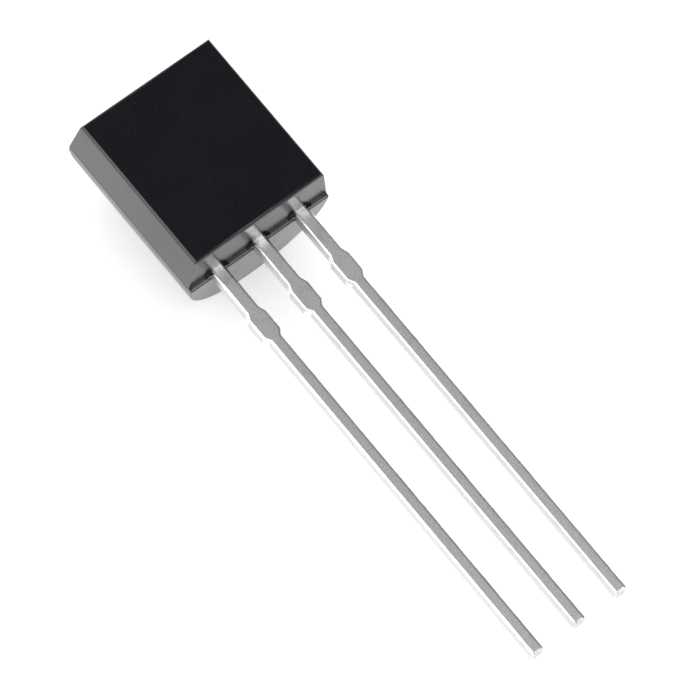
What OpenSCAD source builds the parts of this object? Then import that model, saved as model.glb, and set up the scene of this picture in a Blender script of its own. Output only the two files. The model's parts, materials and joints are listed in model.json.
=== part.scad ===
// Small transistor in a moulded plastic case with three straight leads.
// It lies as it comes to rest: flat face up, on the lower edge of its round back and on
// its three lead tips. The origin is at the middle of its footprint, on the surface.
//
// Every piece is drawn upright first and then laid down. Upright, x runs to the right
// seen from the flat face, y from the flat face to the round back, and z up. There y = 0
// is the parting plane of the mould, and z = 0 is the lower edge of the flat face.

/* [Case] */
// Width of the flat face
flat_w = 3.9; // [3.7:0.02:4.1]
// Height of the flat face
flat_h = 4.46; // [4.3:0.01:4.8]
// Depth from the flat face to the parting plane
front_depth = 1.23; // [1.15:0.01:1.4]
// Draft of the two sides in front of the parting plane, in degrees
side_draft = 7.3; // [3:0.1:8]
// Draft of the top in front of the parting plane, in degrees
top_draft = 8; // [2:0.5:9]
// Draft of the bottom in front of the parting plane, in degrees
bottom_draft = 2; // [1:0.5:6]
// Radius of the round back
back_r = 2.12; // [2.1:0.01:2.3]
// Distance of the round back's centre behind the parting plane
back_centre = 0.08; // [0:0.01:0.2]
// Draft of the top and the bottom behind the parting plane, in degrees
back_draft = 5; // [2:0.5:8]
// Step at the parting plane, where the back half reaches lower than the front half
bottom_step = 0.12; // [0.03:0.01:0.15]
// Step at the parting plane, where the back half reaches higher than the front half
top_step = 0.02; // [0.01:0.01:0.1]
// Radius of the edges round the flat face
case_edge_r = 0.03; // [0.02:0.01:0.12]
// Width of the gate mark on top of the case
gate_w = 0.7; // [0.4:0.05:1]
// Depth of the gate mark, in front of the parting plane
gate_d = 0.22; // [0.1:0.01:0.3]
// Height of the gate mark
gate_h = 0.05; // [0.02:0.01:0.08]

/* [Leads] */
// Distance between neighbouring leads
pitch = 1.27; // [1.25:0.01:1.3]
// Length of the leads below the flat face
lead_length = 12.3; // [8:0.1:14.5]
// Thickness of the lead frame
lead_t = 0.38; // [0.3:0.01:0.45]
// Distance of the leads' front surface in front of the parting plane
lead_front = 0.15; // [0.05:0.01:0.25]
// Width of a lead next to the case
neck_w = 0.4; // [0.34:0.01:0.46]
// Width of a lead at its bulge, where the dam bar was cut away
bulge_w = 0.54; // [0.48:0.01:0.6]
// Width of a lead below its bulge
shank_w = 0.35; // [0.3:0.01:0.44]
// Distance from the flat face's lower edge down to the bulge
bulge_drop = 1.44; // [1:0.02:1.8]
// Length of the bulge with both tapers
bulge_len = 0.89; // [0.6:0.01:1.2]
// Length of the taper at the upper end of the bulge
upper_taper = 0.18; // [0.08:0.01:0.25]
// Length of the taper at the lower end of the bulge
lower_taper = 0.16; // [0.08:0.01:0.3]
// Radius of the long edges of the leads
lead_edge_r = 0.11; // [0.03:0.01:0.13]
// Bevel round the cut end of a lead
tip_bevel = 0.04; // [0.01:0.01:0.08]

/* [Lead frame inside the case] */
// Width of a lead behind its shoulder
shoulder_w = 0.62; // [0.55:0.01:0.7]
// Height of the shoulders above the flat face's lower edge
shoulder_z = 0.45; // [0.35:0.01:0.6]
// Width of the base post
base_post_w = 1; // [0.8:0.02:1.04]
// Height of the base post's lower edge
base_post_z = 0.95; // [0.85:0.01:1]
// Height of the base post
base_post_h = 0.6; // [0.5:0.01:0.62]
// Reach of the emitter post from its lead towards the middle
emitter_post_reach = 0.5; // [0.42:0.01:0.54]
// Height of the emitter post's lower edge
emitter_post_z = 1.6; // [1.58:0.01:1.7]
// Height of the emitter post
emitter_post_h = 0.85; // [0.7:0.01:0.95]
// Gap between the die pad and the emitter post
pad_gap = 0.3; // [0.25:0.01:0.35]
// Height of the die pad's lower edge
pad_z = 2.15; // [2.05:0.01:2.2]
// Height of the die pad
pad_h = 1.7; // [1.6:0.01:1.8]
// Radius of the locking hole beside the die
lock_hole_r = 0.22; // [0.15:0.01:0.25]
// Bevel on the corners of the posts and the die pad
frame_bevel = 0.12; // [0.05:0.01:0.15]

/* [Die and bond wires] */
// Side of the square die
die_side = 0.42; // [0.36:0.01:0.5]
// Thickness of the die
die_t = 0.18; // [0.12:0.01:0.22]
// Distance of the die's middle from the die pad's left edge
die_inset = 0.75; // [0.65:0.01:0.85]
// Thickness of the die attach layer
attach_t = 0.02; // [0.015:0.005:0.03]
// Width of the die attach that shows round the die
attach_rim = 0.04; // [0.02:0.01:0.06]
// Distance of each bond pad from the die's middle, sideways and up
bond_offset = 0.1; // [0.06:0.01:0.12]
// Thickness of the bond wires
wire_t = 0.03; // [0.025:0.005:0.035]
// Rise of the wire loops above the die
loop_rise = 0.28; // [0.2:0.01:0.35]
// Radius of the ball bonds
ball_r = 0.045; // [0.04:0.005:0.055]
// Height of the ball bonds
ball_h = 0.02; // [0.015:0.005:0.03]
// Length of the flattened stitch at the end of a wire
stitch_len = 0.08; // [0.05:0.01:0.1]

/* [Hidden] */

// Flat steps in each rounded corner
corner_steps = 4;
// Segments along a bond wire's loop
wire_steps = 12;
// Reach of a cutting or limiting shape past the piece that it works on
over = 1;
// Overlap of a lead's round-edged length with its shoulder, which makes them one piece
root_overlap = 0.1;
// Turn of the round back about its axis, so that its seam is away from the resting point
seam_turn = 45;

// Case, at the parting plane
parting_bottom = -front_depth * tan(bottom_draft);
parting_top = flat_h + front_depth * tan(top_draft);
parting_w = flat_w + 2 * front_depth * tan(side_draft);
back_bottom = parting_bottom - bottom_step;
back_top = parting_top + top_step;
back_depth = back_centre + back_r;

// Leads
lead_back = lead_t - lead_front;
lead_mid = (lead_back - lead_front) / 2;
// Stations of a lead from its tip up into its shoulder, as [height, width, bevel]
lead_stations = [
    [-lead_length, shank_w, tip_bevel],
    [-lead_length + tip_bevel, shank_w, 0],
    [-bulge_drop - bulge_len, shank_w, 0],
    [-bulge_drop - bulge_len + lower_taper, bulge_w, 0],
    [-bulge_drop - upper_taper, bulge_w, 0],
    [-bulge_drop, neck_w, 0],
    [shoulder_z + root_overlap, neck_w, 0],
];

// Die pad, posts and bonds
emitter_post_right = -pitch + emitter_post_reach;
pad_left = emitter_post_right + pad_gap;
pad_right = pitch + shoulder_w / 2;
die_x = pad_left + die_inset;
die_z = pad_z + pad_h / 2;
die_face = -lead_front - attach_t - die_t;
base_bond = [die_x + bond_offset, die_z - bond_offset];
base_stitch = [0, base_post_z + base_post_h / 2];
emitter_bond = [die_x - bond_offset, die_z + bond_offset];
emitter_stitch = [emitter_post_right - emitter_post_reach / 2, emitter_post_z + emitter_post_h / 2];

// Side outline of the front half as [y, z], with its two front edges rounded
front_side = rounded_outline([
    [-front_depth, 0, case_edge_r],
    [0, parting_bottom, 0],
    [0, parting_top, 0],
    [-front_depth, flat_h, case_edge_r],
]);

// Plan outline of the front half as [x, y], with its two front edges rounded
front_plan = rounded_outline([
    [-flat_w / 2, -front_depth, case_edge_r],
    [flat_w / 2, -front_depth, case_edge_r],
    [parting_w / 2, 0, 0],
    [-parting_w / 2, 0, 0],
]);

// Side outline of the back half as [y, z], to a depth y
function back_side(y) = [
    [0, back_bottom],
    [y, back_bottom + y * tan(back_draft)],
    [y, back_top - y * tan(back_draft)],
    [0, back_top],
];

// Resting place: the part leans on the outermost point of its back, seen from the tips
tip_back = [lead_back, -lead_length + tip_bevel];
tip_end = [-lead_front + tip_bevel, -lead_length];
gate_top = [-gate_d, parting_top + gate_h];
lean = max([for (p = back_side(back_depth)) atan2(p[0] - tip_back[0], p[1] - tip_back[1])]);
outline = concat(front_side, back_side(back_depth), [tip_back, tip_end, gate_top]);
along = [for (p = outline) p[0] * sin(lean) + p[1] * cos(lean)];
up = [for (p = outline) p[1] * sin(lean) - p[0] * cos(lean)];

function unit(v) = v / norm(v);

// The steps of the arc that rounds corner b between its neighbours a and c
function corner_arc(a, b, c, r) =
    let (
        u = unit(a - b),
        v = unit(c - b),
        half = acos(u * v) / 2,
        centre = b + unit(u + v) * r / sin(half),
        first = b + u * r / tan(half) - centre,
        last = b + v * r / tan(half) - centre,
        start = atan2(first[1], first[0]),
        swing = atan2(last[1], last[0]) - start,
        turn = swing > 180 ? swing - 360 : swing < -180 ? swing + 360 : swing
    )
    [for (i = [0:corner_steps])
        centre + r * [cos(start + turn * i / corner_steps), sin(start + turn * i / corner_steps)]];

// An outline from corners given as [x, y, radius]
function rounded_outline(corners) =
    let (n = len(corners), spots = [for (c = corners) [c[0], c[1]]])
    [for (i = [0:n - 1])
        for (p = corners[i][2] > 0
            ? corner_arc(spots[(i + n - 1) % n], spots[i], spots[(i + 1) % n], corners[i][2])
            : [spots[i]])
            p];

// A solid through rings that all have the same number of points
module loft(rings) {
    n = len(rings[0]);
    last = len(rings) - 1;
    polyhedron(
        points = [for (ring = rings) for (p = ring) p],
        faces = concat(
            [[for (k = [0:n - 1]) k]],
            [for (i = [0:last - 1]) for (k = [0:n - 1])
                [i * n + k, (i + 1) * n + k, (i + 1) * n + (k + 1) % n, i * n + (k + 1) % n]],
            [[for (k = [n - 1:-1:0]) last * n + k]]
        )
    );
}

// Turns an outline drawn as [y, z] into a slab of width w across x
module across(outline, w) {
    translate([-w / 2, 0, 0])
        rotate([90, 0, 90])
            linear_extrude(w)
                polygon(outline);
}

// Turns an outline drawn as [x, z] into a piece of the lead frame
module stamped(outline) {
    translate([0, lead_back, 0])
        rotate([90, 0, 0])
            linear_extrude(lead_t)
                polygon(outline);
}

// Lays an upright piece down in its resting place
module lay_down() {
    translate([0, -(max(along) + min(along)) / 2, -min(up)])
        rotate([lean - 90, 0, 0])
            children();
}

// Cross-section of a lead at one station, as a ring of points
function lead_ring(x, station) =
    let (
        w = station[1] / 2 - station[2],
        t = lead_t / 2 - station[2],
        r = lead_edge_r
    )
    [for (p = rounded_outline([[-w, -t, r], [w, -t, r], [w, t, r], [-w, t, r]]))
        [x + p[0], lead_mid + p[1], station[0]]];

// The length of a lead from its shoulder inside the case to its tip
module lead_shank(x) {
    loft([for (station = lead_stations) lead_ring(x, station)]);
}

module emitter_outline() {
    left = -pitch - shoulder_w / 2;
    top = emitter_post_z + emitter_post_h;
    stamped([
        [left, shoulder_z],
        [-pitch + shoulder_w / 2, shoulder_z],
        [-pitch + shoulder_w / 2, emitter_post_z],
        [emitter_post_right - frame_bevel / 2, emitter_post_z],
        [emitter_post_right, emitter_post_z + frame_bevel / 2],
        [emitter_post_right, top - frame_bevel],
        [emitter_post_right - frame_bevel, top],
        [left + frame_bevel, top],
        [left, top - frame_bevel],
    ]);
}

module base_outline() {
    half = base_post_w / 2;
    top = base_post_z + base_post_h;
    stamped([
        [-shoulder_w / 2, shoulder_z],
        [shoulder_w / 2, shoulder_z],
        [shoulder_w / 2, base_post_z],
        [half, base_post_z + half - shoulder_w / 2],
        [half, top - frame_bevel],
        [half - frame_bevel, top],
        [-half + frame_bevel, top],
        [-half, top - frame_bevel],
        [-half, base_post_z + half - shoulder_w / 2],
        [-shoulder_w / 2, base_post_z],
    ]);
}

module collector_outline() {
    top = pad_z + pad_h;
    inner = pitch - shoulder_w / 2;
    difference() {
        stamped([
            [inner, shoulder_z],
            [pad_right, shoulder_z],
            [pad_right, top - 2 * frame_bevel],
            [pad_right - 2 * frame_bevel, top],
            [pad_left + frame_bevel, top],
            [pad_left, top - frame_bevel],
            [pad_left, pad_z + frame_bevel],
            [pad_left + frame_bevel, pad_z],
            [inner - frame_bevel, pad_z],
            [inner, pad_z - frame_bevel],
        ]);
        translate([pad_right - shoulder_w / 2, lead_back + over, top - shoulder_w])
            rotate([90, 0, 0])
                cylinder(h = lead_t + 2 * over, r = lock_hole_r, $fn = 48);
    }
}

module emitter_lead_upright() {
    lead_shank(-pitch);
    emitter_outline();
}

module base_lead_upright() {
    lead_shank(0);
    base_outline();
}

module collector_lead_upright() {
    lead_shank(pitch);
    collector_outline();
}

// A square block on the die pad, from its back face at y = back
module on_pad(side, thickness, back) {
    translate([die_x - side / 2, back - thickness, die_z - side / 2])
        cube([side, thickness, side]);
}

module die_upright() {
    on_pad(die_side, die_t, -lead_front - attach_t);
}

module die_attach_upright() {
    on_pad(die_side + 2 * attach_rim, attach_t, -lead_front);
}

// One point of a cubic curve through its first and last control points
function curve_point(c, u) =
    pow(1 - u, 3) * c[0] + 3 * pow(1 - u, 2) * u * c[1] + 3 * (1 - u) * u * u * c[2] + pow(u, 3) * c[3];

// The direction of the same curve
function curve_heading(c, u) =
    unit(pow(1 - u, 2) * (c[1] - c[0]) + 2 * (1 - u) * u * (c[2] - c[1]) + u * u * (c[3] - c[2]));

// Eight points round a wire, given as distances along the run and out from the leads
function wire_ring(spot, heading, half_thick, half_wide, place) =
    [for (k = [0:7])
        let (
            a = 22.5 + 45 * k,
            side = half_wide * cos(a) / cos(22.5),
            out = half_thick * sin(a) / cos(22.5)
        )
        place * [spot[0] - out * heading[1], spot[1] + out * heading[0], side, 1]];

// A wire from its ball on the die to its stitch on a post, both as [x, z]
module bond_wire(bond, stitch) {
    run = norm(stitch - bond);
    dir = (stitch - bond) / run;
    // columns: along the run, out from the leads, and sideways
    place = [
        [dir[0], 0, -dir[1], bond[0]],
        [0, -1, 0, -lead_front],
        [dir[1], 0, dir[0], bond[1]],
    ];
    die_out = attach_t + die_t;
    half = wire_t / 2;
    foot = half / 3;
    curve = [
        [0, die_out + ball_h / 2],
        [0, die_out + loop_rise * 4 / 3],
        [run * 0.6, die_out + loop_rise],
        [run - stitch_len, half],
    ];
    loop = [for (i = [0:wire_steps - 1])
        wire_ring(curve_point(curve, i / wire_steps), curve_heading(curve, i / wire_steps), half, half, place)];
    landing = wire_ring([run - stitch_len, half], [1, 0], half, half, place);
    end = wire_ring([run, foot], [1, 0], foot, 2 * half, place);
    loft(concat(loop, [landing, end]));
    translate([bond[0], die_face, bond[1]])
        rotate([90, 0, 0]) {
            cylinder(h = ball_h, r = ball_r, $fn = 12);
            cylinder(h = ball_h * 2, r1 = ball_r, r2 = half, $fn = 12);
        }
}

module base_bond_wire_upright() {
    bond_wire(base_bond, base_stitch);
}

module emitter_bond_wire_upright() {
    bond_wire(emitter_bond, emitter_stitch);
}

// The front half of the moulding, drafted on all four sides
module front_half() {
    intersection() {
        across(front_side, parting_w + 2 * over);
        translate([0, 0, -over])
            linear_extrude(flat_h + 3 * over)
                polygon(front_plan);
    }
}

// The back half of the moulding: a round back between drafted ends
module back_half() {
    intersection() {
        across(back_side(back_depth + over), 2 * back_r + 2 * over);
        translate([0, back_centre, -over])
            rotate(seam_turn)
                cylinder(h = flat_h + 3 * over, r = back_r, $fn = 128);
    }
}

// The scar on top where the mould was filled
module gate_mark() {
    translate([-gate_w / 2, -gate_d, parting_top - gate_d])
        cube([gate_w, gate_d, gate_d + gate_h]);
}

module case() {
    color("#2a2a2c")
        lay_down()
            difference() {
                union() {
                    front_half();
                    back_half();
                    gate_mark();
                }
                emitter_lead_upright();
                base_lead_upright();
                collector_lead_upright();
                die_attach_upright();
                die_upright();
                base_bond_wire_upright();
                emitter_bond_wire_upright();
            }
}

module emitter_lead() {
    color("#c9cac4") lay_down() emitter_lead_upright();
}

module base_lead() {
    color("#c9cac4") lay_down() base_lead_upright();
}

module collector_lead() {
    color("#c9cac4") lay_down() collector_lead_upright();
}

module die() {
    color("#3c4250") lay_down() die_upright();
}

module die_attach() {
    color("#8d8f93") lay_down() die_attach_upright();
}

module base_bond_wire() {
    color("#d8a93a") lay_down() base_bond_wire_upright();
}

module emitter_bond_wire() {
    color("#d8a93a") lay_down() emitter_bond_wire_upright();
}

case();
emitter_lead();
base_lead();
collector_lead();
die();
die_attach();
base_bond_wire();
emitter_bond_wire();
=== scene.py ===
"""A small transistor in a moulded case with three plated leads, modelled around its packed CAD frame.

Each piece is modelled upright and in millimetres: x runs to the right seen from the flat face, y from the
flat face to the round back, and z up. There y = 0 is the parting plane of the mould, and z = 0 is the lower
edge of the flat face. A finished piece is then laid down where the CAD model rests, in metres.
"""
import json
import math

import bmesh
import bpy
from bpy.props import FloatProperty, FloatVectorProperty, PointerProperty
from mathutils import Matrix, Vector

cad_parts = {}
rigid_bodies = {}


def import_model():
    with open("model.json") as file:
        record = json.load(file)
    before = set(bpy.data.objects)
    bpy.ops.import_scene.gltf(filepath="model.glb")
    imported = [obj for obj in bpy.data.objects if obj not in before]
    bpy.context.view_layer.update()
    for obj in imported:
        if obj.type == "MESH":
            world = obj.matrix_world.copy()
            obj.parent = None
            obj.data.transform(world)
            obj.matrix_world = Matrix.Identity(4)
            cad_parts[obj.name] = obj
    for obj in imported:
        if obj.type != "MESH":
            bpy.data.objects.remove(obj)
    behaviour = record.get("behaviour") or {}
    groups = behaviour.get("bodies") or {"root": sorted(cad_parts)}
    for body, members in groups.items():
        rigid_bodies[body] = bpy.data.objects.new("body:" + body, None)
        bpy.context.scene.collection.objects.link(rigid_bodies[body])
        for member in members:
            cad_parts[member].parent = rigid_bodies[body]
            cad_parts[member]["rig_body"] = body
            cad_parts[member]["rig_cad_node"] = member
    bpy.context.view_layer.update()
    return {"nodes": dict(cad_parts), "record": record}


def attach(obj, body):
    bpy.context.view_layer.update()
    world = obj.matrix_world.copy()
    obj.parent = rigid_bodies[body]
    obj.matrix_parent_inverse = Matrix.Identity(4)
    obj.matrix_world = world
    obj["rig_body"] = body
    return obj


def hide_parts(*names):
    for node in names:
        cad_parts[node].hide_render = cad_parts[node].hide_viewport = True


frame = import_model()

bl_info = {
    "name": "Moulded Transistor",
    "version": (1, 0, 0),
    "blender": (4, 5, 0),
    "location": "3D View > Sidebar > Transistor",
    "description": "Models a three-lead transistor around its CAD frame",
    "category": "Object",
}

MILLIMETRE = 0.001
LEAD_NAMES = ("emitter_lead", "base_lead", "collector_lead")
INNER_NODES = ("die_attach", "die", "base_bond_wire", "emitter_bond_wire")


# Sizes and colours.

def size(name, description, default):
    """A length in millimetres."""
    return FloatProperty(name=name, description=description, default=default, unit="NONE", precision=3)


def angle(name, description, degrees):
    """An angle, shown in degrees."""
    return FloatProperty(name=name, description=description, default=math.radians(degrees), subtype="ANGLE")


def colour(name, description, default):
    """A colour in linear values."""
    return FloatVectorProperty(name=name, description=description, default=default, subtype="COLOR", min=0, max=1)


def amount(name, description, default):
    """A plain number."""
    return FloatProperty(name=name, description=description, default=default, precision=3)


class CaseSizes(bpy.types.PropertyGroup):
    """Sizes of the moulded case, in millimetres"""
    flat_width: size("Flat width", "Width of the flat face in mm", 3.9)
    flat_height: size("Flat height", "Height of the flat face in mm", 4.46)
    front_depth: size("Front depth", "Depth from the flat face to the parting plane in mm", 1.23)
    side_draft: angle("Side draft", "Draft of the two sides in front of the parting plane", 7.3)
    top_draft: angle("Top draft", "Draft of the top in front of the parting plane", 8)
    bottom_draft: angle("Bottom draft", "Draft of the bottom in front of the parting plane", 2)
    back_radius: size("Back radius", "Radius of the round back in mm", 2.118)
    back_centre: size("Back centre", "Distance of its centre behind the parting plane in mm", 0.08)
    back_draft: angle("Back draft", "Draft of the top and the bottom of the back half", 5)
    bottom_step: size("Bottom step", "How far the back half reaches below the front half in mm", 0.12)
    top_step: size("Top step", "How far the back half reaches above the front half in mm", 0.02)
    edge: size("Flat edge", "Radius of the edges round the flat face in mm", 0.09)
    corner: size("Corner edge", "Radius of the drafted corners in mm", 0.006)
    rim: size("Back rim", "Radius of the edges of the back half in mm", 0.055)
    gate_width: size("Gate width", "Width of the gate mark in mm", 0.7)
    gate_depth: size("Gate depth", "Depth of the gate mark in mm", 0.22)
    gate_height: size("Gate height", "Height of the gate mark in mm", 0.05)
    flash_reach: size("Flash reach", "How far the resin flash spreads beside a lead in mm", 0.15)


class LeadSizes(bpy.types.PropertyGroup):
    """Sizes of the leads, in millimetres"""
    pitch: size("Pitch", "Distance between neighbouring leads in mm", 1.27)
    length: size("Length", "Length below the flat face in mm", 12.3)
    thickness: size("Thickness", "Thickness of the lead frame in mm", 0.38)
    front: size("Front", "Distance of the front surface from the parting plane in mm", 0.15)
    neck: size("Neck", "Width next to the case in mm", 0.4)
    bulge: size("Bulge", "Width at the bulge in mm", 0.54)
    shank: size("Shank", "Width below the bulge in mm", 0.35)
    bulge_drop: size("Bulge drop", "Distance down to the bulge in mm", 1.44)
    bulge_length: size("Bulge length", "Length of the bulge with its tapers in mm", 0.89)
    upper_taper: size("Upper taper", "Length of the bulge's upper taper in mm", 0.18)
    lower_taper: size("Lower taper", "Length of the bulge's lower taper in mm", 0.16)
    edge: size("Edge", "Radius of the long edges in mm", 0.14)
    bulge_edge: size("Bulge edge", "Radius of the bulge's edges in mm", 0.045)
    tip_edge: size("Tip edge", "Radius of the cut tip's edges in mm", 0.045)
    shoulder: size("Shoulder", "Width behind the shoulder in mm", 0.62)
    shoulder_height: size("Shoulder height", "Height of the shoulder in mm", 0.45)
    bevel: size("Frame bevel", "Bevel on the inner corners in mm", 0.12)
    root_top: size("Root top", "Height where the inner ends begin in mm", 0.95)


class Finishes(bpy.types.PropertyGroup):
    """Colours of the finishes"""
    epoxy: colour("Epoxy", "Moulding compound", (0.0026, 0.0029, 0.0034))
    epoxy_dust: colour("Epoxy dust", "Pale filler that shows in the compound", (0.05, 0.052, 0.055))
    gloss: colour("Gloss", "Tint of the flat face's reflections", (0.83, 0.84, 1.0))
    tin: colour("Tin", "Plating of the leads", (0.95, 0.965, 0.955))
    tin_dull: colour("Dull tin", "Patches of duller plating", (0.68, 0.69, 0.68))
    sheared: colour("Sheared metal", "Cut tips and stamped sides of the leads", (0.60, 0.60, 0.585))
    copper: colour("Copper", "Lead frame metal that shows through worn plating", (0.72, 0.45, 0.32))
    silicon: colour("Silicon", "Top of the die", (0.06, 0.07, 0.10))
    silver: colour("Silver epoxy", "Die attach", (0.42, 0.42, 0.43))
    gold: colour("Gold", "Bond wires", (0.85, 0.58, 0.20))
    floor: colour("Floor", "Studio floor", (0.86, 0.86, 0.86))


class StageSettings(bpy.types.PropertyGroup):
    """Camera and light"""
    azimuth: angle("Azimuth", "Camera's turn round the part, from straight in front of the lead tips", -36.243)
    elevation: angle("Elevation", "Camera's height above the horizon", 60.469)
    roll: angle("Roll", "Camera's turn about its own axis", 2.933)
    distance: amount("Distance", "Camera's distance from its aim in metres", 0.16593)
    lens: amount("Lens", "Focal length in mm for a 36 mm sensor", 358.07)
    aim: FloatVectorProperty(name="Aim", description="Point that the camera looks at, in metres",
                             default=(-0.0001219, -0.0000123, 0.0019536), subtype="XYZ", unit="LENGTH", precision=6)
    ceiling_level: amount("Ceiling level", "Brightness of the soft light overhead, which reflections leave out", 0.85)
    key_level: amount("Key level", "Brightness of the front reflector", 3.6)
    side_level: amount("Side level", "Brightness of the left reflector", 1.8)
    back_level: amount("Back level", "Brightness of the rear reflector", 1.5)
    room_level: amount("Room level", "Brightness of the dim studio round the part", 0.36)
    right_level: amount("Right level", "Brightness of the studio on the right of the part", 0.18)
    floor_level: amount("Floor level", "Own brightness of the floor in the picture", 0.48)
    mirrored_level: amount("Mirrored level", "Own brightness of the floor in reflections", 0.61)


# Modelling helpers.

def resting_place():
    """The matrix that lays an upright piece in millimetres down where the CAD model rests."""
    flat = next(m for m in frame["record"]["mounts"] if m["name"] == "flat_front")
    case = bpy.context.scene.case_sizes
    lean = math.atan2(-flat["axis"][1], flat["axis"][2])
    turn = Matrix.Rotation(lean - math.pi / 2, 4, "X")
    upright = Vector((0, -case.front_depth, case.flat_height / 2)) * MILLIMETRE
    move = Vector(flat["pos_m"]) - turn @ upright
    return Matrix.Translation(move) @ turn @ Matrix.Scale(MILLIMETRE, 4)


def select_only(piece):
    """Leaves the piece as the only one that is selected, and active."""
    bpy.ops.object.select_all(action="DESELECT")
    piece.select_set(True)
    bpy.context.view_layer.objects.active = piece


def start_piece(name):
    """Names the primitive that was just added, with its scale applied, and opens it for editing."""
    piece = bpy.context.active_object
    piece.name = name
    piece.data.name = name
    bpy.ops.object.transform_apply(location=True, rotation=True, scale=True)
    bpy.ops.object.mode_set(mode="EDIT")
    return piece


def block(name, low, high):
    """A box between two corners, open for editing."""
    low, high = Vector(low), Vector(high)
    bpy.ops.object.select_all(action="DESELECT")
    bpy.ops.mesh.primitive_cube_add(size=1, location=(low + high) / 2, scale=high - low)
    return start_piece(name)


def choose(piece, kind, test):
    """Selects the piece's faces or edges that pass the test, in edit mode."""
    bpy.ops.mesh.select_mode(type=kind)
    bpy.ops.mesh.select_all(action="DESELECT")
    shape = bmesh.from_edit_mesh(piece.data)
    found = [part for part in (shape.faces if kind == "FACE" else shape.edges) if test(part)]
    if not found:
        raise RuntimeError(f"{piece.name}: nothing to select")
    for part in found:
        part.select_set(True)
    shape.select_flush_mode()
    bmesh.update_edit_mesh(piece.data)
    return found


def cut(co, no, clear_outer=False):
    """Cuts the open piece with a plane. What lies beyond it goes, and the cut is closed, where that is asked."""
    bpy.ops.mesh.select_all(action="SELECT")
    bpy.ops.mesh.bisect(plane_co=co, plane_no=no, use_fill=clear_outer, clear_outer=clear_outer, threshold=1e-5)


def extrude(move):
    """Extrudes the selected faces."""
    bpy.ops.mesh.extrude_region_move(TRANSFORM_OT_translate={"value": move})


def widen(factors, centre):
    """Scales the selection about a point."""
    bpy.ops.transform.resize(value=factors, center_override=centre)


def soften(offset, segments):
    """Rounds the selected edges."""
    bpy.ops.mesh.bevel(offset=offset, offset_type="OFFSET", segments=segments, profile=0.5, affect="EDGES",
                       clamp_overlap=True)


def mean_point(part):
    """The middle of a face or an edge."""
    return sum((v.co for v in part.verts), Vector()) / len(part.verts)


def facing(part, direction, least=0.9):
    """Whether a face looks in a direction."""
    return part.normal.dot(Vector(direction)) > least


def near(a, b, slack=1e-3):
    """Whether two lengths are equal."""
    return abs(a - b) < slack


def apply_modifier(piece, kind, **values):
    """Adds one modifier to the piece and applies it."""
    select_only(piece)
    modifier = piece.modifiers.new(kind.lower(), kind)
    for name, value in values.items():
        setattr(modifier, name, value)
    bpy.ops.object.modifier_apply(modifier=modifier.name)


def combine(piece, other, operation, keep=False):
    """Joins another solid to the piece, or cuts it out of the piece."""
    apply_modifier(piece, "BOOLEAN", object=other, operation=operation, solver="EXACT")
    if not keep:
        bpy.data.objects.remove(other)


def copy_of(piece, name):
    """A copy of the piece with its own mesh."""
    twin = piece.copy()
    twin.data = piece.data.copy()
    twin.name = name
    twin.data.name = name
    bpy.context.scene.collection.objects.link(twin)
    return twin


def close_seams(piece, distance):
    """Merges doubled points and turns every face outwards."""
    select_only(piece)
    bpy.ops.object.mode_set(mode="EDIT")
    bpy.ops.mesh.select_mode(type="VERT")
    bpy.ops.mesh.select_all(action="SELECT")
    bpy.ops.mesh.remove_doubles(threshold=distance)
    bpy.ops.mesh.dissolve_degenerate(threshold=distance)
    bpy.ops.mesh.delete_loose()
    bpy.ops.mesh.select_all(action="SELECT")
    bpy.ops.mesh.normals_make_consistent(inside=False)
    bpy.ops.object.mode_set(mode="OBJECT")


def smooth(piece, degrees):
    """Smooth shading on curved surfaces, and flat shading on flat ones."""
    select_only(piece)
    bpy.ops.object.shade_smooth_by_angle(angle=math.radians(degrees))
    apply_modifier(piece, "WEIGHTED_NORMAL", mode="FACE_AREA_WITH_ANGLE", weight=50, keep_sharp=True)


def lay_down(piece):
    """Puts an upright piece in millimetres where the CAD model rests."""
    piece.matrix_world = resting_place()
    select_only(piece)
    bpy.ops.object.transform_apply(location=True, rotation=True, scale=True)


def inner_cutter(node):
    """A closed copy of a CAD node, upright and in millimetres."""
    cutter = copy_of(frame["nodes"][node], "cutter_" + node)
    cutter.parent = None
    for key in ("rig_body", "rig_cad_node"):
        if key in cutter:
            del cutter[key]
    cutter.data.transform(resting_place().inverted())
    close_seams(cutter, 1e-4)
    return cutter


# Materials.

def add_node(tree, kind, inputs=None, **settings):
    """Adds a node with its settings, values and links. A link is given as (node, output name)."""
    node = tree.nodes.new(kind)
    for name, value in settings.items():
        setattr(node, name, value)
    for name, value in (inputs or {}).items():
        if isinstance(value, tuple) and len(value) == 2 and isinstance(value[0], bpy.types.Node):
            tree.links.new(value[0].outputs[value[1]], node.inputs[name])
        else:
            node.inputs[name].default_value = value
    return node


def mix(tree, kind, factor, a, b, blend="MIX"):
    """Mixes two colours or two values."""
    node = tree.nodes.new("ShaderNodeMix")
    node.data_type = kind
    if kind == "RGBA":
        node.blend_type = blend
    slots = {"FLOAT": (0, 2, 3, 0), "RGBA": (0, 6, 7, 2)}[kind]
    for slot, value in zip(slots, (factor, a, b)):
        if isinstance(value, tuple) and isinstance(value[0], bpy.types.Node):
            tree.links.new(value[0].outputs[value[1]], node.inputs[slot])
        else:
            node.inputs[slot].default_value = value
    return node, slots[3]


def new_group(name, inputs, outputs):
    """A node group with named sockets, given as (name, kind, default)."""
    tree = bpy.data.node_groups.new(name, "ShaderNodeTree")
    for socket, kind, default in inputs:
        made = tree.interface.new_socket(name=socket, in_out="INPUT", socket_type="NodeSocket" + kind)
        if default is not None:
            made.default_value = default
    for socket, kind in outputs:
        tree.interface.new_socket(name=socket, in_out="OUTPUT", socket_type="NodeSocket" + kind)
    return tree, tree.nodes.new("NodeGroupInput"), tree.nodes.new("NodeGroupOutput")


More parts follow.
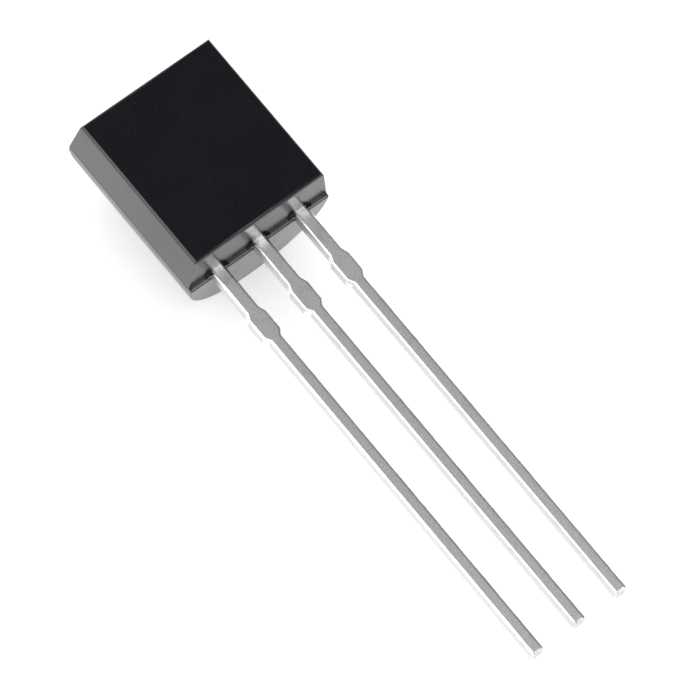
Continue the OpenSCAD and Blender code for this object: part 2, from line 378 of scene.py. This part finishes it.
def grain_group():
    """Fine mould or plating grain: a height in millimetres and a mask from 0 to 1."""
    if "surface_grain" in bpy.data.node_groups:
        return bpy.data.node_groups["surface_grain"]
    tree, inside, outside = new_group(
        "surface_grain",
        [("Vector", "Vector", None), ("Grains per mm", "Float", 20.0), ("Depth mm", "Float", 0.002),
         ("Stretch", "Float", 1.0)],
        [("Height", "Float"), ("Mask", "Float")])
    stretch = add_node(tree, "ShaderNodeCombineXYZ", {"X": 1.0, "Y": (inside, "Stretch"), "Z": 1.0})
    place = add_node(tree, "ShaderNodeVectorMath", {0: (inside, "Vector"), 1: (stretch, "Vector")},
                     operation="MULTIPLY")
    coarse = add_node(tree, "ShaderNodeTexNoise", {"Vector": (place, "Vector"), "Scale": (inside, "Grains per mm"),
                                                   "Detail": 3.0, "Roughness": 0.55})
    finer = add_node(tree, "ShaderNodeMath", {0: (inside, "Grains per mm"), 1: 2.7}, operation="MULTIPLY")
    fine = add_node(tree, "ShaderNodeTexNoise", {"Vector": (place, "Vector"), "Scale": (finer, "Value"),
                                                 "Detail": 1.0, "Roughness": 0.5})
    both, out = mix(tree, "FLOAT", 0.35, (coarse, "Fac"), (fine, "Fac"))
    height = add_node(tree, "ShaderNodeMath", {0: (both, out), 1: (inside, "Depth mm")}, operation="MULTIPLY")
    mask = add_node(tree, "ShaderNodeMapRange", {"Value": (both, out), "From Min": 0.35, "From Max": 0.65})
    tree.links.new(height.outputs["Value"], outside.inputs["Height"])
    tree.links.new(mask.outputs["Result"], outside.inputs["Mask"])
    return tree


def patch_group():
    """Broad soft patches, such as handling marks or uneven plating: a mask from 0 to 1."""
    if "soft_patches" in bpy.data.node_groups:
        return bpy.data.node_groups["soft_patches"]
    tree, inside, outside = new_group(
        "soft_patches",
        [("Vector", "Vector", None), ("Patches per mm", "Float", 1.0), ("Share", "Float", 0.5)],
        [("Mask", "Float")])
    noise = add_node(tree, "ShaderNodeTexNoise", {"Vector": (inside, "Vector"), "Scale": (inside, "Patches per mm"),
                                                  "Detail": 4.0, "Roughness": 0.6, "Distortion": 0.4})
    low = add_node(tree, "ShaderNodeMath", {0: 0.75, 1: (inside, "Share")}, operation="SUBTRACT")
    high = add_node(tree, "ShaderNodeMath", {0: (low, "Value"), 1: 0.22}, operation="ADD")
    mask = add_node(tree, "ShaderNodeMapRange", {"Value": (noise, "Fac"), "From Min": (low, "Value"),
                                                 "From Max": (high, "Value")}, interpolation_type="SMOOTHSTEP")
    tree.links.new(mask.outputs["Result"], outside.inputs["Mask"])
    return tree


def use_group(tree, group, inputs):
    """Places a node group in a material."""
    node = add_node(tree, "ShaderNodeGroup")
    node.node_tree = group
    for name, value in inputs.items():
        if isinstance(value, tuple) and isinstance(value[0], bpy.types.Node):
            tree.links.new(value[0].outputs[value[1]], node.inputs[name])
        else:
            node.inputs[name].default_value = value
    return node


def new_material(name):
    """A material with a Principled shader, and its Object coordinates in millimetres."""
    material = bpy.data.materials.new(name)
    material.use_nodes = True
    tree = material.node_tree
    shader = tree.nodes["Principled BSDF"]
    coordinates = add_node(tree, "ShaderNodeTexCoord")
    place = add_node(tree, "ShaderNodeMapping", {"Vector": (coordinates, "Object"),
                                                 "Scale": (1 / MILLIMETRE,) * 3})
    return material, tree, shader, place


def relief(tree, shader, height, strength=1.0):
    """Turns a height in millimetres into the shader's normal."""
    bump = add_node(tree, "ShaderNodeBump", {"Height": height, "Distance": MILLIMETRE, "Strength": strength})
    tree.links.new(bump.outputs["Normal"], shader.inputs["Normal"])


def rgba(value):
    """A colour with full alpha."""
    return (*value, 1.0)


def epoxy_material(name, gloss, ior, roughness, spread, grains, depth):
    """Black moulding compound with fine filler that shows as a faint pale grain."""
    finish = bpy.context.scene.finishes
    material, tree, shader, place = new_material(name)
    grain = use_group(tree, grain_group(), {"Vector": (place, "Vector"), "Grains per mm": grains,
                                            "Depth mm": depth})
    patches = use_group(tree, patch_group(), {"Vector": (place, "Vector"), "Patches per mm": 0.7, "Share": 0.35})
    speck = add_node(tree, "ShaderNodeMath", {0: (grain, "Mask"), 1: 6.0}, operation="POWER")
    share = add_node(tree, "ShaderNodeMath", {0: (speck, "Value"), 1: 0.12}, operation="MULTIPLY")
    tint, out = mix(tree, "RGBA", (share, "Value"), rgba(finish.epoxy), rgba(finish.epoxy_dust))
    tree.links.new(tint.outputs[out], shader.inputs["Base Color"])
    rough, out = mix(tree, "FLOAT", (patches, "Mask"), roughness, roughness + spread)
    tree.links.new(rough.outputs[out], shader.inputs["Roughness"])
    shader.inputs["IOR"].default_value = ior
    shader.inputs["Specular Tint"].default_value = rgba(gloss)
    relief(tree, shader, (grain, "Height"))
    return material


def tin_material():
    """Satin tin plating with fine drawn lines and soft patches of duller plating."""
    finish = bpy.context.scene.finishes
    material, tree, shader, place = new_material("tin_plating")
    lines = use_group(tree, grain_group(), {"Vector": (place, "Vector"), "Grains per mm": 9.0,
                                            "Depth mm": 0.0012, "Stretch": 0.12})
    crystals = use_group(tree, grain_group(), {"Vector": (place, "Vector"), "Grains per mm": 24.0,
                                               "Depth mm": 0.0009})
    patches = use_group(tree, patch_group(), {"Vector": (place, "Vector"), "Patches per mm": 2.4, "Share": 0.3})
    tint, out = mix(tree, "RGBA", (patches, "Mask"), rgba(finish.tin), rgba(finish.tin_dull))
    darker, dark_out = mix(tree, "RGBA", (crystals, "Mask"), (0.88, 0.88, 0.88, 1), (1, 1, 1, 1))
    shade, shade_out = mix(tree, "RGBA", 1.0, (tint, out), (darker, dark_out), blend="MULTIPLY")
    tree.links.new(shade.outputs[shade_out], shader.inputs["Base Color"])
    rough, out = mix(tree, "FLOAT", (patches, "Mask"), 0.24, 0.36)
    tree.links.new(rough.outputs[out], shader.inputs["Roughness"])
    shader.inputs["Metallic"].default_value = 1.0
    height = add_node(tree, "ShaderNodeMath", {0: (lines, "Height"), 1: (crystals, "Height")}, operation="ADD")
    relief(tree, shader, (height, "Value"))
    return material


def sheared_material():
    """Sheared metal of the cut tips and the stamped sides, where the plating is thin."""
    finish = bpy.context.scene.finishes
    material, tree, shader, place = new_material("sheared_metal")
    streaks = use_group(tree, grain_group(), {"Vector": (place, "Vector"), "Grains per mm": 14.0,
                                              "Depth mm": 0.003, "Stretch": 3.0})
    patches = use_group(tree, patch_group(), {"Vector": (place, "Vector"), "Patches per mm": 5.0, "Share": 0.25})
    share = add_node(tree, "ShaderNodeMath", {0: (patches, "Mask"), 1: 0.15}, operation="MULTIPLY")
    tint, out = mix(tree, "RGBA", (share, "Value"), rgba(finish.sheared), rgba(finish.copper))
    tree.links.new(tint.outputs[out], shader.inputs["Base Color"])
    rough, out = mix(tree, "FLOAT", (streaks, "Mask"), 0.28, 0.42)
    tree.links.new(rough.outputs[out], shader.inputs["Roughness"])
    shader.inputs["Metallic"].default_value = 1.0
    relief(tree, shader, (streaks, "Height"))
    return material


def silicon_material():
    """The die's polished top, with its bond pads a little brighter."""
    finish = bpy.context.scene.finishes
    material, tree, shader, place = new_material("silicon")
    grain = use_group(tree, grain_group(), {"Vector": (place, "Vector"), "Grains per mm": 40.0,
                                            "Depth mm": 0.0002})
    patches = use_group(tree, patch_group(), {"Vector": (place, "Vector"), "Patches per mm": 9.0, "Share": 0.4})
    tint, out = mix(tree, "RGBA", (patches, "Mask"), rgba(finish.silicon), (0.10, 0.12, 0.16, 1))
    tree.links.new(tint.outputs[out], shader.inputs["Base Color"])
    rough, out = mix(tree, "FLOAT", (grain, "Mask"), 0.08, 0.16)
    tree.links.new(rough.outputs[out], shader.inputs["Roughness"])
    shader.inputs["Metallic"].default_value = 0.6
    relief(tree, shader, (grain, "Height"))
    return material


def silver_material():
    """Silver filled epoxy with visible flakes."""
    finish = bpy.context.scene.finishes
    material, tree, shader, place = new_material("silver_epoxy")
    flakes = use_group(tree, grain_group(), {"Vector": (place, "Vector"), "Grains per mm": 90.0,
                                             "Depth mm": 0.001})
    tint, out = mix(tree, "RGBA", (flakes, "Mask"), (0.25, 0.25, 0.26, 1), rgba(finish.silver))
    tree.links.new(tint.outputs[out], shader.inputs["Base Color"])
    tree.links.new(flakes.outputs["Mask"], shader.inputs["Metallic"])
    rough, out = mix(tree, "FLOAT", (flakes, "Mask"), 0.65, 0.4)
    tree.links.new(rough.outputs[out], shader.inputs["Roughness"])
    relief(tree, shader, (flakes, "Height"))
    return material


def gold_material():
    """Drawn gold wire."""
    finish = bpy.context.scene.finishes
    material, tree, shader, place = new_material("gold_wire")
    lines = use_group(tree, grain_group(), {"Vector": (place, "Vector"), "Grains per mm": 60.0,
                                            "Depth mm": 0.0003, "Stretch": 0.2})
    tint, out = mix(tree, "RGBA", (lines, "Mask"), rgba(finish.gold), (0.93, 0.68, 0.27, 1))
    tree.links.new(tint.outputs[out], shader.inputs["Base Color"])
    rough, out = mix(tree, "FLOAT", (lines, "Mask"), 0.16, 0.28)
    tree.links.new(rough.outputs[out], shader.inputs["Roughness"])
    shader.inputs["Metallic"].default_value = 1.0
    relief(tree, shader, (lines, "Height"))
    return material


def paint(piece, materials, rule):
    """Gives each face the material whose number the rule returns."""
    piece.data.materials.clear()
    for material in materials:
        piece.data.materials.append(material)
    for face in piece.data.polygons:
        face.material_index = rule(face)


# Leads.

def lead_blank(sizes):
    """One lead from the root inside the case to its cut tip, at x = 0."""
    half = sizes.shoulder / 2
    back = sizes.thickness - sizes.front
    middle = (back - sizes.front) / 2
    bulge_end = -sizes.bulge_drop - sizes.bulge_length
    rounding_top = sizes.shoulder_height - sizes.bevel
    stations = [
        (rounding_top, sizes.neck),
        (-sizes.bulge_drop, sizes.neck),
        (-sizes.bulge_drop - sizes.upper_taper, sizes.bulge),
        (bulge_end + sizes.lower_taper, sizes.bulge),
        (bulge_end, sizes.shank),
        (-sizes.length, sizes.shank),
    ]
    lead = block("lead_blank", (-half, -sizes.front, sizes.shoulder_height), (half, back, sizes.root_top))
    for side in (-1, 1):
        cut((side * sizes.neck / 2, 0, 0), (1, 0, 0))
    choose(lead, "FACE", lambda f: facing(f, (0, 0, -1)) and abs(mean_point(f).x) < sizes.neck / 4)
    height, width = sizes.shoulder_height, sizes.neck
    for next_height, next_width in stations:
        extrude((0, 0, next_height - height))
        widen((next_width / width, 1, 1), (0, middle, next_height))
        height, width = next_height, next_width

    shape = bmesh.from_edit_mesh(lead.data)
    weight = shape.edges.layers.float.new("bevel_weight_edge")
    for edge in shape.edges:
        a, b = (v.co for v in edge.verts)
        below = max(a.z, b.z) < rounding_top + 1e-3
        if below and abs(a.z - b.z) > 0.05:
            at_bulge = -sizes.bulge_drop - 1e-3 > mean_point(edge).z > bulge_end + 1e-3
            edge[weight] = sizes.bulge_edge / sizes.edge if at_bulge else 1.0
        elif near(a.z, -sizes.length) and near(b.z, -sizes.length):
            edge[weight] = sizes.tip_edge / sizes.edge
    bmesh.update_edit_mesh(lead.data)
    bpy.ops.object.mode_set(mode="OBJECT")
    apply_modifier(lead, "BEVEL", width=sizes.edge, segments=4, limit_method="WEIGHT", profile=0.5,
                   use_clamp_overlap=True)
    return lead


def round_corners(lead, corners):
    """Bevels the edges that run through the lead frame at the given corners, as (x, z, offset)."""
    for x, z, offset in corners:
        choose(lead, "EDGE", lambda e: all(near(v.co.x, x) and near(v.co.z, z) for v in e.verts))
        soften(offset, 1)


def emitter_end(lead, sizes):
    """The emitter's bond post."""
    half, low, high, reach = sizes.shoulder / 2, 1.6, 2.45, 0.5
    choose(lead, "FACE", lambda f: facing(f, (0, 0, 1)) and near(mean_point(f).z, sizes.root_top))
    extrude((0, 0, low - sizes.root_top))
    extrude((0, 0, high - low))
    choose(lead, "FACE", lambda f: facing(f, (1, 0, 0)) and mean_point(f).z > low)
    extrude((reach - half, 0, 0))
    round_corners(lead, [(-half, high, sizes.bevel), (reach, high, sizes.bevel), (reach, low, sizes.bevel / 2)])


def base_end(lead, sizes):
    """The base's bond post."""
    half, post, top = sizes.shoulder / 2, 0.5, 1.55
    flare = sizes.root_top + post - half
    choose(lead, "FACE", lambda f: facing(f, (0, 0, 1)) and near(mean_point(f).z, sizes.root_top))
    extrude((0, 0, flare - sizes.root_top))
    widen((post / half, 1, 1), (0, 0, flare))
    extrude((0, 0, top - flare))
    round_corners(lead, [(-post, top, sizes.bevel), (post, top, sizes.bevel)])


def collector_end(lead, sizes):
    """The collector's die pad, with its locking hole."""
    half, low, high = sizes.shoulder / 2, 2.15, 3.85
    left = -0.47 - sizes.pitch
    choose(lead, "FACE", lambda f: facing(f, (0, 0, 1)) and near(mean_point(f).z, sizes.root_top))
    extrude((0, 0, low - sizes.root_top))
    extrude((0, 0, high - low))
    choose(lead, "FACE", lambda f: facing(f, (-1, 0, 0)) and mean_point(f).z > low)
    extrude((left + half, 0, 0))
    round_corners(lead, [(left, high, sizes.bevel), (left, low, sizes.bevel), (half, high, 2 * sizes.bevel),
                         (-half, low, sizes.bevel)])
    bpy.ops.object.mode_set(mode="OBJECT")
    bpy.ops.object.select_all(action="DESELECT")
    bpy.ops.mesh.primitive_cylinder_add(vertices=48, radius=0.22, depth=2, location=(0, 0, high - sizes.shoulder),
                                        rotation=(math.pi / 2, 0, 0))
    hole = bpy.context.active_object
    bpy.ops.object.transform_apply(location=True, rotation=True, scale=True)
    combine(lead, hole, "DIFFERENCE")
    select_only(lead)
    bpy.ops.object.mode_set(mode="EDIT")


def is_sheared(face):
    """Whether a lead's face is a stamped side or the cut tip, upright."""
    return abs(face.normal.x) > 0.95 or face.normal.z < -0.9


class TRANSISTOR_OT_leads(bpy.types.Operator):
    """Model one lead, copy it twice and give each copy its own inner end"""
    bl_idname = "transistor.leads"
    bl_label = "Leads"

    def execute(self, context):
        sizes = context.scene.lead_sizes
        blank = lead_blank(sizes)
        plating, sheared = tin_material(), sheared_material()
        for number, (name, inner_end) in enumerate(zip(LEAD_NAMES, (emitter_end, base_end, collector_end))):
            lead = copy_of(blank, "tinned_" + name)
            select_only(lead)
            bpy.ops.object.mode_set(mode="EDIT")
            inner_end(lead, sizes)
            bpy.ops.object.mode_set(mode="OBJECT")
            close_seams(lead, 1e-5)
            paint(lead, (plating, sheared), is_sheared)
            smooth(lead, 35)
            lead.location.x = (number - 1) * sizes.pitch
            bpy.ops.object.transform_apply(location=True, rotation=False, scale=False)
        bpy.data.objects.remove(blank)
        return {"FINISHED"}


# Case.

def front_half(case):
    """The drafted front half, from the flat face to just behind the parting plane."""
    depth, height, width = case.front_depth, case.flat_height, case.flat_width
    front = block("moulded_case", (-width / 2, -depth, 0), (width / 2, 0, height))
    bottom = -depth * math.tan(case.bottom_draft)
    top = height + depth * math.tan(case.top_draft)
    parting_width = width + 2 * depth * math.tan(case.side_draft)
    choose(front, "FACE", lambda f: facing(f, (0, 1, 0)))
    widen((parting_width / width, 1, (top - bottom) / height), (0, 0, height / 2))
    bpy.ops.transform.translate(value=(0, 0, (top + bottom) / 2 - height / 2))
    extrude((0, 0.3, 0))
    choose(front, "EDGE", lambda e: all(near(v.co.y, -depth) for v in e.verts))
    soften(case.edge, 4)
    choose(front, "EDGE", lambda e: abs(e.verts[0].co.y - e.verts[1].co.y) > depth / 2)
    soften(case.corner, 2)
    bpy.ops.object.mode_set(mode="OBJECT")
    return front


def back_half(case):
    """The round back half between its drafted ends, with its rims rounded."""
    bottom = -case.front_depth * math.tan(case.bottom_draft) - case.bottom_step
    top = case.flat_height + case.front_depth * math.tan(case.top_draft) + case.top_step
    bpy.ops.object.select_all(action="DESELECT")
    bpy.ops.mesh.primitive_cylinder_add(vertices=160, radius=case.back_radius, depth=top - bottom + 1,
                                        location=(0, case.back_centre, (top + bottom) / 2))
    back = start_piece("back_half")
    lean = Vector((0, math.sin(case.back_draft), math.cos(case.back_draft)))
    cut((0, 0, 0), (0, -1, 0), clear_outer=True)
    cut((0, 0, top), lean, clear_outer=True)
    cut((0, 0, bottom), (0, lean.y, -lean.z), clear_outer=True)
    choose(back, "EDGE", lambda e: len(e.link_faces) == 2 and e.calc_face_angle() > math.radians(40))
    soften(case.rim, 3)
    bpy.ops.object.mode_set(mode="OBJECT")
    return back


def gate_mark(case):
    """The scar on top, where the mould was filled: a broken stub with an uneven top."""
    top = case.flat_height + case.front_depth * math.tan(case.top_draft)
    gate = block("gate_mark", (-case.gate_width / 2, -case.gate_depth, top - case.gate_depth),
                 (case.gate_width / 2, 0, top + case.gate_height * 0.7))
    bpy.ops.mesh.select_all(action="SELECT")
    bpy.ops.mesh.subdivide(number_cuts=5)
    shape = bmesh.from_edit_mesh(gate.data)
    for vert in shape.verts:
        if near(vert.co.z, top + case.gate_height * 0.7):
            wave = math.sin(vert.co.x * 23) * math.cos(vert.co.y * 41 + vert.co.x * 7)
            vert.co.z += case.gate_height * 0.28 * wave
    bmesh.update_edit_mesh(gate.data)
    bpy.ops.object.mode_set(mode="OBJECT")
    return gate


def flash(case, leads, middle):
    """Resin flash that crept out along both sides of a lead, thinning out away from it."""
    bottom = -case.front_depth * math.tan(case.bottom_draft) - case.bottom_step
    top = bottom + case.bottom_step + 0.05
    inner = leads.neck / 2
    outer = inner + case.flash_reach
    tab = block("flash", (middle - outer, -leads.front + 0.012, bottom + 0.012), (middle + outer, 0.05, top))
    bpy.ops.mesh.select_all(action="SELECT")
    bpy.ops.mesh.subdivide(number_cuts=7)
    shape = bmesh.from_edit_mesh(tab.data)
    for vert in shape.verts:
        x = vert.co.x - middle
        share = max(0, abs(x) - inner) / case.flash_reach
        wave = 0.07 * math.sin(31 * x + 5 * middle) * math.cos(47 * vert.co.z + 3 * middle)
        if vert.co.y < 0:
            vert.co.y *= 1 - 0.8 * share ** 1.5 + wave
        vert.co.z = top - (top - vert.co.z) * (1 - 0.25 * share - abs(wave))
    bmesh.update_edit_mesh(tab.data)
    bpy.ops.object.mode_set(mode="OBJECT")
    return tab


class TRANSISTOR_OT_case(bpy.types.Operator):
    """Model the moulded case round the lead frame, with the cavity that its inner pieces leave"""
    bl_idname = "transistor.case"
    bl_label = "Moulded case"

    def execute(self, context):
        case, leads = context.scene.case_sizes, context.scene.lead_sizes
        body = front_half(case)
        combine(body, back_half(case), "UNION")
        combine(body, gate_mark(case), "UNION")
        for number, name in enumerate(LEAD_NAMES):
            combine(body, flash(case, leads, (number - 1) * leads.pitch), "UNION")
            combine(body, bpy.data.objects["tinned_" + name], "DIFFERENCE", keep=True)
        for node in INNER_NODES:
            combine(body, inner_cutter(node), "DIFFERENCE")
        close_seams(body, 1e-5)
        textured = epoxy_material("epoxy_textured", context.scene.finishes.gloss, 1.36, 0.24, 0.05, 16.0, 0.006)
        polished = epoxy_material("epoxy_smooth", (1, 1, 1), 1.7, 0.22, 0.05, 12.0, 0.0006)
        flat = -case.front_depth + 0.01
        paint(body, (textured, polished), lambda face: 0 if face.normal.y < -0.97 and face.center.y < flat else 1)
        smooth(body, 24)
        lay_down(body)
        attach(body, "root")
        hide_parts("case")
        for name in LEAD_NAMES:
            lead = bpy.data.objects["tinned_" + name]
            lay_down(lead)
            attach(lead, "root")
            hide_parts(name)
        return {"FINISHED"}


# Die and bond wires.

class TRANSISTOR_OT_bonds(bpy.types.Operator):
    """Finish the die, its attach layer and the two bond wires"""
    bl_idname = "transistor.bonds"
    bl_label = "Die and bond wires"

    def execute(self, context):
        gold = gold_material()
        finishes = {"die": silicon_material(), "die_attach": silver_material(), "base_bond_wire": gold,
                    "emitter_bond_wire": gold}
        for name, material in finishes.items():
            node = frame["nodes"][name]
            node.data.materials.clear()
            node.data.materials.append(material)
        return {"FINISHED"}


# Stage.

def direction(azimuth, elevation):
    """The direction from the object at an azimuth from -Y towards +X, and an elevation."""
    return Vector((math.sin(azimuth) * math.cos(elevation), -math.cos(azimuth) * math.cos(elevation),
                   math.sin(elevation)))


def panel_light(name, towards, distance, width, height, level, reflected):
    """A rectangular lamp of a given brightness that faces the object: one that only lights, or only shines."""
    lamp = bpy.data.lights.new(name, "AREA")
    lamp.shape = "RECTANGLE"
    lamp.size, lamp.size_y = width, height
    lamp.energy = level * math.pi * width * height
    panel = bpy.data.objects.new(name, lamp)
    towards = Vector(towards).normalized()
    panel.location = towards * distance
    panel.rotation_euler = towards.to_track_quat("Z", "Y").to_euler()
    panel.visible_diffuse = not reflected
    panel.visible_glossy = reflected
    bpy.context.scene.collection.objects.link(panel)
    return panel


def floor_material(settings):
    """Matt white paper, with some brightness of its own in the picture and in reflections."""
    material = bpy.data.materials.new("studio_floor")
    material.use_nodes = True
    tree = material.node_tree
    tree.nodes.remove(tree.nodes["Principled BSDF"])
    path = add_node(tree, "ShaderNodeLightPath")
    seen = add_node(tree, "ShaderNodeMath", {0: (path, "Is Camera Ray"), 1: settings.floor_level},
                    operation="MULTIPLY")
    level = add_node(tree, "ShaderNodeMath", {0: (path, "Is Glossy Ray"), 1: settings.mirrored_level,
                                              2: (seen, "Value")}, operation="MULTIPLY_ADD")
    glow = add_node(tree, "ShaderNodeEmission", {"Strength": (level, "Value")})
    paper = add_node(tree, "ShaderNodeBsdfDiffuse", {"Color": rgba(bpy.context.scene.finishes.floor)})
    both = add_node(tree, "ShaderNodeAddShader", {0: (paper, "BSDF"), 1: (glow, "Emission")})
    tree.links.new(both.outputs["Shader"], tree.nodes["Material Output"].inputs["Surface"])
    return material


def room(settings):
    """A dim room, darker on the right, that shows white to the camera."""
    world = bpy.data.worlds.new("studio_room")
    bpy.context.scene.world = world
    world.use_nodes = True
    tree = world.node_tree
    background = tree.nodes["Background"]
    path = add_node(tree, "ShaderNodeLightPath")
    seen = add_node(tree, "ShaderNodeMath", {0: (path, "Is Camera Ray"), 1: (path, "Is Transmission Ray")},
                    operation="ADD", use_clamp=True)
    around = add_node(tree, "ShaderNodeNewGeometry")
    side = add_node(tree, "ShaderNodeSeparateXYZ", {"Vector": (around, "Position")})
    dim = add_node(tree, "ShaderNodeMapRange", {"Value": (side, "X"), "From Min": 0.3, "From Max": 1.0,
                                                "To Min": settings.room_level, "To Max": settings.right_level})
    level = add_node(tree, "ShaderNodeMapRange", {"Value": (seen, "Value"), "To Min": (dim, "Result"),
                                                  "To Max": 1.0})
    tree.links.new(level.outputs["Result"], background.inputs["Strength"])
    background.inputs["Color"].default_value = (1, 1, 1, 1)


class TRANSISTOR_OT_stage(bpy.types.Operator):
    """Set up the floor, the lights and the camera"""
    bl_idname = "transistor.stage"
    bl_label = "Stage"

    def execute(self, context):
        settings = context.scene.stage_settings
        bpy.ops.object.select_all(action="DESELECT")
        bpy.ops.mesh.primitive_plane_add(size=4, location=(0, 0, 0))
        floor = context.active_object
        floor.name = "studio_floor"
        floor.data.materials.append(floor_material(settings))
        room(settings)
        panel_light("ceiling", (0, 0, 1), 1.0, 3.0, 3.0, settings.ceiling_level, reflected=False)
        panel_light("front_reflector", (0.28, -0.39, 0.88), 0.30, 0.12, 0.12, settings.key_level, reflected=True)
        panel_light("left_reflector", (-0.75, 0.15, 0.64), 0.30, 0.30, 0.34, settings.side_level, reflected=True)
        panel_light("back_reflector", (0.25, 0.60, 0.76), 0.35, 0.12, 0.10, settings.back_level, reflected=True)

        toward_camera = direction(settings.azimuth, settings.elevation)
        lens = bpy.data.cameras.new("photo_camera")
        lens.sensor_width = 36
        lens.lens = settings.lens
        lens.clip_start, lens.clip_end = 0.01, 10
        camera = bpy.data.objects.new("photo_camera", lens)
        camera.location = Vector(settings.aim) + toward_camera * settings.distance
        level = toward_camera.to_track_quat("Z", "Y")
        camera.rotation_mode = "QUATERNION"
        camera.rotation_quaternion = level @ Matrix.Rotation(-settings.roll, 3, "Z").to_quaternion()
        context.scene.collection.objects.link(camera)
        context.scene.camera = camera
        context.scene.view_settings.view_transform = "Standard"
        return {"FINISHED"}


# Panel and registration.

OPERATORS = (TRANSISTOR_OT_leads, TRANSISTOR_OT_case, TRANSISTOR_OT_bonds, TRANSISTOR_OT_stage)
GROUPS = (("case_sizes", CaseSizes), ("lead_sizes", LeadSizes), ("finishes", Finishes),
          ("stage_settings", StageSettings))


class TRANSISTOR_PT_panel(bpy.types.Panel):
    """The transistor's sizes, colours and steps"""
    bl_label = "Transistor"
    bl_idname = "TRANSISTOR_PT_panel"
    bl_space_type = "VIEW_3D"
    bl_region_type = "UI"
    bl_category = "Transistor"

    def draw(self, context):
        for step in OPERATORS:
            self.layout.operator(step.bl_idname)
        for name, group in GROUPS:
            box = self.layout.box()
            box.label(text=group.__doc__)
            for prop in group.__annotations__:
                box.prop(getattr(context.scene, name), prop)


def register():
    for name, group in GROUPS:
        bpy.utils.register_class(group)
        setattr(bpy.types.Scene, name, PointerProperty(type=group))
    for item in (*OPERATORS, TRANSISTOR_PT_panel):
        bpy.utils.register_class(item)


def unregister():
    for item in (TRANSISTOR_PT_panel, *reversed(OPERATORS)):
        bpy.utils.unregister_class(item)
    for name, group in reversed(GROUPS):
        delattr(bpy.types.Scene, name)
        bpy.utils.unregister_class(group)


def main():
    register()
    bpy.ops.transistor.leads()
    bpy.ops.transistor.case()
    bpy.ops.transistor.bonds()
    bpy.ops.transistor.stage()


if __name__ == "__main__":
    main()
